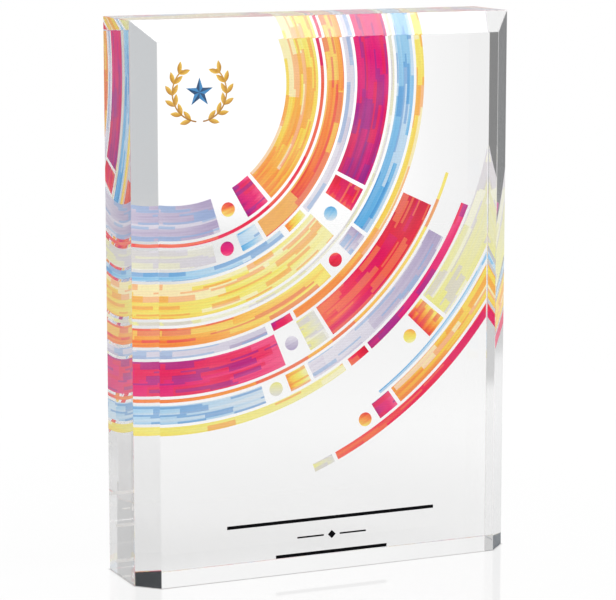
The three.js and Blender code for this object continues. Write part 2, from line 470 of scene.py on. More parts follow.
@dataclass(frozen=True)
class Grain:
    """A printed surface's droplets.

    Attributes:
        droplet: a droplet's size, in metres.
        mottle: how far the droplets change the colour.
        relief: how strongly they show as relief.
        depth: how deep that relief is, in metres.
    """

    droplet: float = 0.00032
    mottle: float = 0.1
    relief: float = 0.15
    depth: float = 0.00002

    def surface(self, w: NodeWriter, colour: Any, roughness: Any, specular: float) -> None:
        """Ends a material with a printed surface.

        Args:
            w: the writer of the material's tree.
            colour: the surface's colour.
            roughness: its roughness.
            specular: its gloss.
        """
        grain = w.group(Shared.print_grain(), {"Droplet": self.droplet, "Strength": self.mottle})
        shaded = w.out("ShaderNodeVectorMath", {0: colour, "Scale": grain["Shade"]}, operation="SCALE")
        relief = {"Height": grain["Height"], "Strength": self.relief, "Distance": self.depth}
        inputs = {
            "Base Color": shaded,
            "Roughness": roughness,
            "Specular IOR Level": specular,
            "Normal": w.out("ShaderNodeBump", relief),
        }
        w.node("ShaderNodeOutputMaterial", {"Surface": w.out("ShaderNodeBsdfPrincipled", inputs)})


@dataclass(frozen=True)
class InkFinish:
    """A printed ink that changes along its field.

    Attributes:
        name: the ink's name, which its material's name ends with.
        stops: places along a field, from 0 to 1, with screen codes.
        layers: the screen codes of thin strips that lie over it, broad ones first.
        spread: how far the streaks shift the colour along the field.
        veil: how much of a pale wash lies over it.
        seed: what sets its streaks apart from other inks.
        specular: the gloss of its outer face.
        cover: how much its layers hide of the colour under them.
        strip_width: the width of the first layer's strips, in metres.
        strip_length: their length, in metres.
        strip_share: the share of a layer that its strips fill.
        seed_step: what sets one layer's strips apart from the next one's.
        roughness: its least roughness.
        wash_roughness: how much the wash adds to that.
        grain: its droplets.
    """

    name: str
    stops: tuple[tuple[float, str], ...]
    layers: tuple[str, ...] = ()
    spread: float = 0.34
    veil: float = 0.05
    seed: float = 0.0
    specular: float = 0.1
    cover: float = 0.55
    strip_width: float = 0.0021
    strip_length: float = 0.021
    strip_share: float = 0.3
    seed_step: float = 20.0
    roughness: float = 0.36
    wash_roughness: float = 0.12
    grain: Grain = Grain()

    @property
    def slot(self) -> str:
        """The name of this ink's material."""
        return f"ink_{self.name}"

    def material(self, centre: Vector) -> Material:
        """Builds the ink's material.

        Args:
            centre: the rings' centre, in metres.

        Returns:
            The material.
        """
        made, w = new_material(self.slot)
        around = {"Centre": tuple(centre)}
        flow = w.group(Shared.ring_flow(), around | {"Seed": self.seed})
        shift = w.math("MULTIPLY", w.math("SUBTRACT", flow["Streak"], 0.5), self.spread)
        stops = tuple((place, linear(code)) for place, code in self.stops)
        colour = w.ramp(w.math("ADD", w.attribute(ALONG), shift), stops)
        layered = w.attribute(LAYERED)
        for number, code in enumerate(self.layers):
            sizes = {
                "Width": self.strip_width / (number + 1),
                "Length": self.strip_length / (number + 1),
                "Share": self.strip_share,
                "Seed": self.seed + self.seed_step * number,
            }
            strips = w.group(Shared.ring_strips(), around | sizes)
            colour = w.mix(w.product(strips["Strip"], layered, self.cover), colour, linear(code))
        veiled = w.mix(w.math("MULTIPLY", flow["Wash"], self.veil), colour, WHITE)
        roughness = w.math("MULTIPLY_ADD", flow["Wash"], self.wash_roughness, self.roughness)
        self.grain.surface(w, veiled, roughness, self.specular)
        return made


@dataclass(frozen=True)
class BackingFinish:
    """The white ink that lies behind the colours.

    Attributes:
        code: its screen code.
        roughness: its roughness.
        specular: its gloss.
        grain: its droplets.
    """

    code: str = "f4f4f2"
    roughness: float = 0.5
    specular: float = 0.3
    grain: Grain = Grain(droplet=0.0005, mottle=0.05, relief=0.2)

    def material(self) -> Material:
        """Builds the white ink's material.

        Returns:
            The material.
        """
        made, w = new_material("white_backing_ink")
        self.grain.surface(w, linear(self.code)[:3], self.roughness, self.specular)
        return made


@dataclass(frozen=True)
class AcrylicFinish:
    """Clear cast acrylic, polished all over.

    Attributes:
        name: the finish's name.
        index: its refractive index.
        tint: the screen code of its faint colour.
        shade: the screen code of the light that it lets through as shade.
        mark_scale: how fine the marks of polishing are along each axis.
        mark_detail: their finer octaves.
        mark_span: the span of noise in which they come in.
        haze: the roughness of the strongest marks.
    """

    name: str = "clear_acrylic"
    index: float = 1.49
    tint: str = "f7f7f7"
    shade: str = "f9f9f9"
    mark_scale: tuple[float, float, float] = (900.0, 900.0, 60.0)
    mark_detail: float = 2.0
    mark_span: Span = (0.55, 0.75)
    haze: float = 0.012

    def material(self) -> Material:
        """Builds the acrylic's material, which lets lamps and bounced light straight through.

        Returns:
            The material.
        """
        made, w = new_material(self.name)
        stretch = w.out("ShaderNodeMapping", {"Vector": w.place(), "Scale": self.mark_scale})
        inputs = {"Vector": stretch, "Scale": 1.0, "Detail": self.mark_detail}
        marks = w.between(w.out("ShaderNodeTexNoise", inputs), *self.mark_span)
        inputs = {
            "Base Color": linear(self.tint),
            "Roughness": w.math("MULTIPLY", marks, self.haze),
            "IOR": self.index,
            "Transmission Weight": 1.0,
        }
        clear = w.out("ShaderNodeBsdfPrincipled", inputs)
        passed = w.out("ShaderNodeBsdfTransparent", {"Color": linear(self.shade)})
        path = w.node("ShaderNodeLightPath").outputs
        bounced = w.blend(path["Is Diffuse Ray"], clear, passed)
        lit = w.blend(path["Is Shadow Ray"], bounced, passed)
        w.node("ShaderNodeOutputMaterial", {"Surface": lit})
        return made


RING_INKS = (
    InkFinish(
        "yellow",
        ((0.0, "faf4b4"), (0.35, "f8ec74"), (0.75, "fcd458"), (1.0, "fc9448")),
        layers=("fffbe4", "fb8c4a"),
        seed=1.0,
    ),
    InkFinish(
        "crimson",
        ((0.0, "d8103c"), (0.4, "ee1c40"), (0.8, "f42c5c"), (1.0, "fa6c54")),
        layers=("e00e70", "fc8a58"),
        seed=2.0,
    ),
    InkFinish(
        "orange",
        ((0.0, "fcec7c"), (0.35, "fdba56"), (0.7, "fb7e40"), (1.0, "ee2c44")),
        layers=("fae878", "ee3060"),
        seed=3.0,
    ),
    InkFinish(
        "lavender",
        ((0.0, "b4a6c8"), (0.5, "cec6da"), (1.0, "e8e4ee")),
        layers=("efeef4", "86b6e2"),
        seed=4.0,
    ),
    InkFinish(
        "magenta",
        ((0.0, "fa5c8c"), (0.3, "f01c74"), (0.75, "e0107c"), (1.0, "b41078")),
        layers=("ee2048", "8a2a96"),
        seed=5.0,
    ),
    InkFinish(
        "straw",
        ((0.0, "e4e2dc"), (0.5, "eceac4"), (1.0, "f2ee94")),
        layers=("fbfaf4", "d2cce2"),
        seed=6.0,
    ),
    InkFinish(
        "blue",
        ((0.0, "dce8f2"), (0.45, "a2d2f0"), (1.0, "5cb0e6")),
        layers=("eaf4fa", "3a8cd2"),
        seed=7.0,
    ),
)
GOLD = InkFinish(
    "gold",
    ((0.0, "a8701a"), (0.5, "d7a02a"), (1.0, "f0cc58")),
    spread=0.0,
    veil=0.05,
    seed=8.0,
    specular=0.5,
)
NAVY = InkFinish("navy", ((0.0, "174a76"), (1.0, "3384be")), spread=0.0, veil=0.04, seed=9.0, specular=0.5)
BLACK = InkFinish("black", ((0.0, "040406"), (1.0, "0e0e12")), spread=0.0, veil=0.0, seed=10.0, specular=0.03)


def run_tree(name: str, tree: Tree, values: dict[str, Any]) -> Mesh:
    """Runs a geometry tree and keeps its result as a plain mesh.

    Args:
        name: the mesh's name.
        tree: the tree.
        values: its inputs by name.

    Returns:
        The mesh.
    """
    holder = add_object(f"{name}_holder", bpy.data.meshes.new(f"{name}_seed"))
    modifier = holder.modifiers.new("grow", "NODES")
    modifier.node_group = tree
    for item in tree.interface.items_tree:
        if item.item_type == "SOCKET" and item.in_out == "INPUT" and item.name in values:
            modifier[item.identifier] = values[item.name]
    graph = bpy.context.evaluated_depsgraph_get()
    grown = holder.evaluated_get(graph)
    mesh = bpy.data.meshes.new_from_object(grown, preserve_all_data_layers=True, depsgraph=graph)
    mesh.name = name
    holder.modifiers.remove(modifier)
    seed = holder.data
    bpy.data.objects.remove(holder)
    bpy.data.meshes.remove(seed)
    return mesh


class SheetTrees:
    """The geometry trees that grow the printed fields, each built once."""

    # A layer's usual thickness, and how near points are merged, in metres
    LAYER = 0.00007
    LAYER_WELD = 0.000002
    BRANCH_WELD = 0.000004

    # The points along and across each form
    BAND_ROWS = 2
    DOT_STEPS = 64
    STEM_STEPS, STEM_ROWS = 49, 2
    LEAF_STEPS, LEAF_ROWS = 17, 5

    # The ink's shade: a stem's at its head, and a leaf's at its foot, along it and across it
    STEM_SHADE = 0.4
    LEAF_SHADE, LEAF_SHADE_ALONG, LEAF_SHADE_ACROSS = 0.3, 0.4, 0.7

    def __init__(self) -> None:
        """Builds the trees."""
        self.thicken = self._thicken()
        self.band = self._band()
        self.dot = self._dot()
        self.branch = self._branch()

    def _start(self, name: str, output: str, **own: float) -> tuple[NodeWriter, Sockets]:
        """Starts a field's tree.

        Args:
            name: the tree's name.
            output: the name of what it grows.
            **own: its own inputs' defaults, beside the inputs that every field has.

        Returns:
            A writer of the tree, and what its inputs give.
        """
        shared = {"Centre": ORIGIN, "Thickness": self.LAYER, "Ink": Bare.MATERIAL}
        titled = {key.replace("_", " ").title(): value for key, value in own.items()}
        return new_group(name, TreeKind.GEOMETRY, shared | titled, (output,))

    def _layer(self, w: NodeWriter, given: Sockets, sheet: Socket) -> Socket:
        """Gives a flat sheet its thickness."""
        inputs = {"Sheet": sheet, "Thickness": given["Thickness"]}
        return w.out("GeometryNodeGroup", inputs, node_tree=self.thicken)

    @staticmethod
    def _end(w: NodeWriter, given: Sockets, solid: Socket) -> Tree:
        """Gives a solid its ink and ends the tree.

        Args:
            w: the tree's writer.
            given: what its inputs give.
            solid: the solid.

        Returns:
            The tree.
        """
        real = w.out("GeometryNodeRealizeInstances", {0: solid})
        inked = w.out("GeometryNodeSetMaterial", {"Geometry": real, "Material": given["Ink"]})
        w.node("NodeGroupOutput", {0: inked})
        return w.tree

    @staticmethod
    def _polar(w: NodeWriter, radius: Socket, angle: Socket) -> Socket:
        """Gives the place at a radius and an angle from +X towards +Z.

        Args:
            w: the tree's writer.
            radius: the radius.
            angle: the angle, in radians.

        Returns:
            The place.
        """
        across = w.math("MULTIPLY", radius, w.math("COSINE", angle))
        up = w.math("MULTIPLY", radius, w.math("SINE", angle))
        return w.point(X=across, Z=up)

    def _around(self, w: NodeWriter, given: Sockets, radius: Socket, angle: Socket) -> Socket:
        """Gives the place at a radius and a clockwise angle around the centre."""
        turned = self._polar(w, radius, w.math("MULTIPLY", angle, -1.0))
        return w.vector("ADD", turned, given["Centre"])

    def _thicken(self) -> Tree:
        """Closes a flat sheet into a layer that reaches back along +Y.

        Returns:
            The tree.
        """
        inputs = {"Sheet": Bare.GEOMETRY, "Thickness": self.LAYER}
        w, given = new_group("ink_layer", TreeKind.GEOMETRY, inputs, ("Layer",))
        back = w.point(Y=given["Thickness"])
        inputs = {"Mesh": given["Sheet"], "Offset": back, "Offset Scale": 1.0, "Individual": False}
        raised = w.out("GeometryNodeExtrudeMesh", inputs)
        under = w.out("GeometryNodeFlipFaces", {0: given["Sheet"]})
        joined = w.node("GeometryNodeJoinGeometry")
        for part in (raised, under):
            w.feed(joined.inputs[0], part)
        w.node("NodeGroupOutput", {0: w.welded(joined.outputs[0], self.LAYER_WELD)})
        return w.tree

    def _band(self) -> Tree:
        """A band of a ring between two angles, clockwise from the viewer's right.

        Returns:
            The tree.
        """
        sizes = {"inner_radius": 0.04, "width": 0.012, "start": 0.0, "end": 1.0, "steps": 64}
        w, given = self._start("ring_band", "Band", **sizes)
        x, y, _ = w.axes(w.out("GeometryNodeInputPosition"))
        along = w.math("ADD", x, 0.5)
        across = w.math("ADD", y, 0.5)
        flat = w.store(w.grid(given["Steps"], self.BAND_ROWS), ALONG, along)
        sweep = w.math("SUBTRACT", given["End"], given["Start"])
        angle = w.math("MULTIPLY_ADD", along, sweep, given["Start"])
        radius = w.math("MULTIPLY_ADD", across, given["Width"], given["Inner Radius"])
        bent = w.moved(w.store(flat, LAYERED, 1.0), self._around(w, given, radius, angle))
        return self._end(w, given, self._layer(w, given, bent))

    def _dot(self) -> Tree:
        """A round dot on the middle of a ring.

        Returns:
            The tree.
        """
        w, given = self._start("ring_dot", "Dot", radius=0.05, angle=0.0, diameter=0.005)
        inputs = {"Vertices": self.DOT_STEPS, "Radius": w.math("DIVIDE", given["Diameter"], 2.0)}
        disc = w.out("GeometryNodeMeshCircle", inputs, fill_type="NGON")
        x, y, _ = w.axes(w.out("GeometryNodeInputPosition"))
        along = w.math("ADD", w.math("DIVIDE", y, given["Diameter"]), 0.5)
        middle = self._around(w, given, given["Radius"], given["Angle"])
        stood = w.moved(w.store(disc, ALONG, along), w.vector("ADD", middle, w.point(X=x, Z=y)))
        return self._end(w, given, self._layer(w, given, stood))

    def _branch(self) -> Tree:
        """A wreath's branch: a curved stem joined to pointed leaves in pairs.

        Returns:
            The tree, whose Side is 1, or -1 for a mirrored branch.
        """
        sizes = {"radius": 0.0096, "stem_width": 0.0005, "foot": -1.45, "head": 0.91, "side": 1.0}
        leaves = {"leaf_length": 0.0042, "leaf_width": 0.0016, "lean": 0.56, "pairs": 6}
        w, given = self._start("wreath_branch", "Branch", **sizes, **leaves)
        x, y, _ = w.axes(w.out("GeometryNodeInputPosition"))
        share = w.math("ADD", x, 0.5)
        sweep = w.math("SUBTRACT", given["Head"], given["Foot"])

        def sheet(steps: int, rows: int, shade: Socket, place: Socket) -> Socket:
            """Gives a layer bent from a square grid, with its colour's place on it."""
            kept = w.store(w.grid(steps, rows), ALONG, shade, "CORNER")
            return self._layer(w, given, w.moved(kept, place))

        stem_angle = w.math("MULTIPLY_ADD", share, sweep, given["Foot"])
        stem_radius = w.math("MULTIPLY_ADD", y, given["Stem Width"], given["Radius"])
        stem_shade = w.math("MULTIPLY", share, self.STEM_SHADE)
        stem_place = self._polar(w, stem_radius, stem_angle)
        stem = sheet(self.STEM_STEPS, self.STEM_ROWS, stem_shade, stem_place)
        belly = w.product(share, w.math("SUBTRACT", 1.0, share), 4.0)
        half = w.product(belly, given["Leaf Width"], y)
        length = w.math("MULTIPLY", share, given["Leaf Length"])
        leaf_shade = w.math("MULTIPLY_ADD", share, self.LEAF_SHADE_ALONG, self.LEAF_SHADE)
        lit = w.math("MULTIPLY_ADD", y, self.LEAF_SHADE_ACROSS, leaf_shade)
        leaf = sheet(self.LEAF_STEPS, self.LEAF_ROWS, lit, w.point(X=length, Z=half))

        joined = w.node("GeometryNodeMeshBoolean", operation="UNION", solver="EXACT")
        w.feed(joined.inputs["Mesh 2"], stem)
        number = w.out("GeometryNodeInputIndex")
        step = w.math("DIVIDE", w.math("ADD", number, 0.5), given["Pairs"])
        at = w.math("MULTIPLY_ADD", step, sweep, given["Foot"])
        for lean in (-1.0, 1.0):
            spots = w.out("GeometryNodePoints", {"Count": given["Pairs"]})
            set_out = w.moved(spots, self._polar(w, given["Radius"], at))
            leaning = w.math("MULTIPLY", given["Lean"], lean)
            turn = w.math("ADD", w.math("ADD", at, math.pi / 2), leaning)
            turned = w.point(Y=w.math("MULTIPLY", turn, -1.0))
            inputs = {"Points": set_out, "Instance": leaf, "Rotation": turned}
            w.feed(joined.inputs["Mesh 2"], w.out("GeometryNodeInstanceOnPoints", inputs))
        merged = w.welded(joined.outputs[0], self.BRANCH_WELD)
        mirror = w.point(X=given["Side"], Y=1.0, Z=1.0)
        inputs = {"Geometry": merged, "Translation": given["Centre"], "Scale": mirror}
        return self._end(w, given, w.out("GeometryNodeTransform", inputs))


@dataclass
class Block:
    """The clear block, with sizes in mm.

    Attributes:
        width: its size along X.
        depth: its size along Y.
        height: its size along Z.
        bevel: the cut along its front top and side edges.
        edge_break: the polished break of every edge.
        break_steps: the faces across that break.
        break_round: how round it is.
        sideways: how far a face turns to the side to count as a cut edge.
        finish: the finish of its faces.
        edge_finish: the finish of its two sides.
    """

    width: float
    depth: float
    height: float
    bevel: float = 7.0
    edge_break: float = 0.15
    break_steps: int = 2
    break_round: float = 0.5
    sideways: float = 0.9
    finish: AcrylicFinish = AcrylicFinish()
    edge_finish: AcrylicFinish = AcrylicFinish("cut_edge_acrylic", tint="e0e0e0")

    def corners(self) -> Iterator[tuple[float, float, float]]:
        """The plan's corners at the base, then at the top, from the back left round by the front.

        Yields:
            Each corner's place.
        """
        side, front, cut = self.width / 2, -self.depth / 2, self.bevel
        plan = (
            (-side, -front, self.height),
            (-side, front + cut, self.height),
            (-side + cut, front, self.height - cut),
            (side - cut, front, self.height - cut),
            (side, front + cut, self.height),
            (side, -front, self.height),
        )
        yield from ((x, y, 0.0) for x, y, _ in plan)
        yield from plan

    def build(self) -> None:
        """Makes the block with its edges broken by the polish."""
        mesh = bpy.data.meshes.new("acrylic_body")
        with edited(mesh) as work:
            verts = [work.verts.new(Vector(corner) * MM) for corner in self.corners()]
            count = len(verts) // 2
            base, top = verts[:count], verts[count:]
            work.faces.new(base)
            work.faces.new((top[0], top[5], top[4], top[1]))
            work.faces.new((top[1], top[4], top[3], top[2]))
            for i in range(count):
                j = (i + 1) % count
                work.faces.new((base[i], base[j], top[j], top[i]))
            bmesh.ops.recalc_face_normals(work, faces=work.faces)
            bmesh.ops.bevel(
                work,
                geom=list(work.edges),
                offset=self.edge_break * MM,
                offset_type="OFFSET",
                segments=self.break_steps,
                profile=self.break_round,
                affect="EDGES",
            )
            for face in work.faces:
                face.material_index = 1 if abs(face.normal.x) > self.sideways else 0
        for finish in (self.finish, self.edge_finish):
            mesh.materials.append(finish.material())
        dress("acrylic_body", mesh, "acrylic_block")


class PrintFace(Enum):
    """The face of the block that a print is bonded to, by its side along Y."""

    FRONT = -1
    BACK = 1


@dataclass
class Print:
    """What the two prints share: the ink's depth, the white behind it and how a field becomes a piece.

    Attributes:
        block: what carries the print.
        trees: the trees that grow the fields.
        backing: the white ink's material.
        face: the face that carries the print.
        centre: the rings' and the emblem's middle, across and up, in mm.
        thickness: the ink's own thickness, in mm.
        sunk: how far the ink's bond reaches into the block, in mm.
        facing: how far a side turns to the viewer to show the colour.
        materials: the inks' materials by name.
    """

    block: Block
    trees: SheetTrees
    backing: Material
    face: PrintFace
    centre: Span = (0.0, 0.0)
    thickness: float = 0.05
    sunk: float = 0.02
    facing: float = 0.5
    materials: dict[str, Material] = field(default_factory=dict)

    @property
    def front_depth(self) -> float:
        """Where a field's near side lies along Y, in metres."""
        raised = self.sunk if self.face is PrintFace.BACK else self.thickness
        return (self.face.value * self.block.depth / 2 - raised) * MM

    @property
    def layer(self) -> float:
        """A field's full thickness, in metres."""
        return (self.thickness + self.sunk) * MM

    def middle(self, depth: float) -> Vector:
        """Gives the print's middle at a place along Y, in metres."""
        return Vector((self.centre[0] * MM, depth, self.centre[1] * MM))

    def grow(self, node: str, tree: Tree, ink: InkFinish, sizes: dict[str, Any]) -> Mesh:
        """Grows a field from its tree.

        Args:
            node: the name of the solid that it stands for.
            tree: the tree.
            ink: its ink.
            sizes: the tree's own inputs.

        Returns:
            The field's closed mesh, in place.
        """
        shared = {
            "Centre": tuple(self.middle(self.front_depth)),
            "Thickness": self.layer,
            "Ink": self.materials[ink.name],
        }
        return run_tree(node, tree, shared | sizes)

    def piece(self, node: str, mesh: Mesh, ink: InkFinish) -> None:
        """Makes a printed field that stands for a solid of the frame.

        Args:
            node: the solid's name.
            mesh: the field's closed mesh, in place, with its ink as its only material.
            ink: its ink; not used.
        """
        colour = next(slot for slot in mesh.materials if slot is not None)
        mesh.materials.clear()
        for material in (colour, self.backing):
            mesh.materials.append(material)
        with edited(mesh) as work:
            bmesh.ops.recalc_face_normals(work, faces=work.faces)
            for face in work.faces:
                face.material_index = 0 if face.normal.y < -self.facing else 1
                face.smooth = False
        dress(f"printed_{node}", mesh, node)


@dataclass
class RingKind:
    """A kind of ring.

    Attributes:
        width: the band's width, in mm.
        broken: whether the band breaks into two with a tip between.
        dotted: whether a dot follows the tip.
    """

    width: float
    broken: bool
    dotted: bool


@dataclass
class RingPrint(Print):
    """The back print: broken rings around a centre, with sizes in mm and angles in degrees.

    Attributes:
        margin: the bare rim of the face.
        ring_count: the number of rings.
        top_edge_rings: how many rings start beyond the top edge.
        left_edge_rings: how many end beyond the left edge. Those after them start at the right edge.
        first_radius: the innermost ring's inner radius.
        gap: the space between rings.
        tip_length: a tip's length.
        tip_gap: the space before it.
        dot_diameter: a dot's diameter.
        dot_gap: the space on each side of it.
        golden_share: what spreads the rings' angles.
        step_deg: a band's finest step.
        snap: how near a cut a point counts as on it, in metres.
        ink_steps: the steps from a ring's ink to those of its first band, dot, second band and tip.
        top_edge_deg: an angle beyond the top edge.
        right_edge_deg: an angle beyond the right edge.
        left_edge_deg: an angle beyond the left edge.
        inner_break_deg: where the first rings break, as a least angle and its spread.
        free_start_deg: where the next rings start, in the same way.
        free_break_deg: where they break.
        outer_span_deg: how far the outer rings reach from the right edge.
        kinds: the kinds of ring, which take turns.
    """

    margin: float = 0.3
    ring_count: int = 16
    top_edge_rings: int = 8
    left_edge_rings: int = 12
    first_radius: float = 40.0
    gap: float = 1.0
    tip_length: float = 8.0
    tip_gap: float = 1.4
    dot_diameter: float = 5.0
    dot_gap: float = 2.4
    golden_share: float = 0.618
    step_deg: float = 0.75
    snap: float = 1e-7
    ink_steps: tuple[int, int, int, int] = (0, 2, 3, 4)
    top_edge_deg: float = -60.0
    right_edge_deg: float = 0.0
    left_edge_deg: float = 130.0
    inner_break_deg: Span = (24.0, 40.0)
    free_start_deg: Span = (15.0, 18.0)
    free_break_deg: Span = (40.0, 30.0)
    outer_span_deg: Span = (18.0, 14.0)
    kinds: tuple[RingKind, ...] = (
        RingKind(12.0, True, True),
        RingKind(1.2, False, False),
        RingKind(6.5, True, True),
        RingKind(3.0, True, False),
    )

    def ink(self, number: int, step: int) -> InkFinish:
        """Gives the ink some steps after a ring's own."""
        return RING_INKS[(number - 1 + step) % len(RING_INKS)]

    def band_angles(self, number: int, middle: float) -> Span:
        """Gives where a ring's first band starts and ends.

        Args:
            number: the ring's number from the centre.
            middle: its middle radius.

        Returns:
            The two angles, clockwise from the viewer's right.
        """
        share = (number * self.golden_share) % 1

        def spread(angle: Span) -> float:
            """Gives this ring's own angle."""
            return angle[0] + angle[1] * share

        if number <= self.top_edge_rings:
            return self.top_edge_deg, spread(self.inner_break_deg)
        if number <= self.left_edge_rings:
            return spread(self.free_start_deg), spread(self.free_break_deg)
        reach = self.block.width / 2 - self.margin - self.centre[0]
        entry = math.degrees(math.acos(min(1.0, reach / middle)))
        return self.right_edge_deg, entry + spread(self.outer_span_deg)

    def clip(self, mesh: Mesh) -> None:
        """Cuts a field off at the edge of the printed area.

        Args:
            mesh: the field's mesh.
        """
        side = (self.block.width / 2 - self.margin) * MM
        low, high = self.margin * MM, (self.block.height - self.margin) * MM
        cuts = (
            (Vector((side, 0, 0)), Vector((1, 0, 0))),
            (Vector((-side, 0, 0)), Vector((-1, 0, 0))),
            (Vector((0, 0, high)), Vector((0, 0, 1))),
            (Vector((0, 0, low)), Vector((0, 0, -1))),
        )
        with edited(mesh) as work:
            for point, normal in cuts:
                everything = [*work.verts, *work.edges, *work.faces]
                cut = bmesh.ops.bisect_plane(
                    work, geom=everything, dist=self.snap, plane_co=point, plane_no=normal, clear_outer=True
                )
                edges = [part for part in cut["geom_cut"] if isinstance(part, bmesh.types.BMEdge)]
                rim = [edge for edge in edges if len(edge.link_faces) == 1]
                if rim:
                    bmesh.ops.edgeloop_fill(work, edges=rim)

    def add_band(self, node: str, inner: float, width: float, angles: Span, ink: InkFinish) -> None:
        """Prints a band of a ring.

        Args:
            node: the name of the solid that it stands for.
            inner: its inner radius.
            width: its width.
            angles: where it starts and ends.
            ink: its ink.
        """
        start, end = angles
        sizes = {
            "Inner Radius": inner * MM,
            "Width": width * MM,
            "Start": math.radians(start),
            "End": math.radians(end),
            "Steps": math.ceil((end - start) / self.step_deg) + 1,
        }
        mesh = self.grow(node, self.trees.band, ink, sizes)
        self.clip(mesh)
        self.piece(node, mesh, ink)

    def add_dot(self, node: str, middle: float, at: float, ink: InkFinish) -> None:
        """Prints a dot on the middle of a ring.

        Args:
            node: the name of the solid that it stands for.
            middle: the ring's middle radius.
            at: the dot's angle.
            ink: its ink.
        """
        sizes = {
            "Radius": middle * MM,
            "Angle": math.radians(at),
            "Diameter": self.dot_diameter * MM,
        }
        self.piece(node, self.grow(node, self.trees.dot, ink, sizes), ink)

    def add_ring(self, number: int, inner: float, kind: RingKind) -> None:
        """Prints one ring: its first band, its tip, its dot and its second band.

        Args:
            number: its number from the centre.
            inner: its inner radius.
            kind: its kind.
        """
        middle = inner + kind.width / 2
        per_mm = math.degrees(1 / middle)
        start, end = self.band_angles(number, middle)
        reaches_left = number <= self.left_edge_rings
        own, dotted, lower, tipped = (self.ink(number, step) for step in self.ink_steps)

        def band(part: str, first: float, last: float, ink: InkFinish) -> None:
            """Prints a part of this ring between two angles."""
            self.add_band(f"{part}_{ink.name}", inner, kind.width, (first, last), ink)

        label = f"{number:02d}"
        if not kind.broken:
            band(f"band_{label}", start, self.left_edge_deg if reaches_left else end, own)
            return
        band(f"band_{label}_upper", start, end, own)
        tip_start = end + self.tip_gap * per_mm
        reached = tip_start + self.tip_length * per_mm
        band(f"tip_{label}", tip_start, reached, tipped)
        if kind.dotted:
            dot_at = reached + (self.dot_gap + self.dot_diameter / 2) * per_mm
            self.add_dot(f"dot_{label}_{dotted.name}", middle, dot_at, dotted)
            reached = dot_at + self.dot_diameter / 2 * per_mm
        if reaches_left:
            band(f"band_{label}_lower", reached + self.dot_gap * per_mm, self.left_edge_deg, lower)

    def build(self) -> None:
        """Prints every ring."""
        self.materials = {ink.name: ink.material(self.middle(0.0)) for ink in RING_INKS}
        inner = self.first_radius
        for number in range(1, self.ring_count + 1):
            kind = self.kinds[(number - 1) % len(self.kinds)]
            self.add_ring(number, inner, kind)
            inner += kind.width + self.gap


